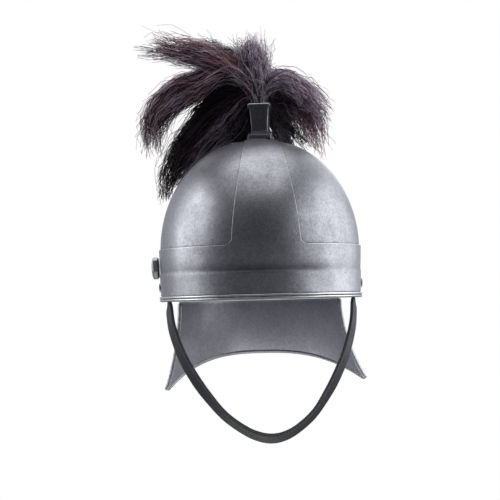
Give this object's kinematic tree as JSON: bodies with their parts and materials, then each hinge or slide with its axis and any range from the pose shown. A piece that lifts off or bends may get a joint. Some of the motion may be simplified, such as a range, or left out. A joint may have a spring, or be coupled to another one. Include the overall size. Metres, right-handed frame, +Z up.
{
  "type": "roman legionary helmet",
  "caption": "Domed open-faced helmet with a raised brow band and strap frame, flared neck guard, crest holder with a drooping hair plume, side boss and chin strap.",
  "frame": {"origin": "middle of the head opening, level with the helmet's rim", "axes": "+Z up through the crown and plume, -Y towards the front of the helmet, -X towards the wearer's right"},
  "size_m": [0.2372, 0.2679, 0.4435],
  "materials": {
    "aged_steel": "satin, aged, fine grain with lighter worn edges",
    "boss_steel": "satin, aged",
    "gunmetal": "satin dark, lighter on its worn edges",
    "strap_leather": "smooth black leather, greyer cut edges",
    "plume_hair": "coarse black and brown horse hair"
  },
  "bodies": {
    "root": {"bowl": "aged_steel", "frame": "aged_steel", "rim_binding": "aged_steel", "neck_guard": "aged_steel", "crest_holder": "gunmetal", "side_boss": "boss_steel", "strap_rivet_right": "gunmetal", "strap_rivet_left": "gunmetal", "chin_strap": "strap_leather", "plume": "plume_hair"}
  },
  "joints": []
}
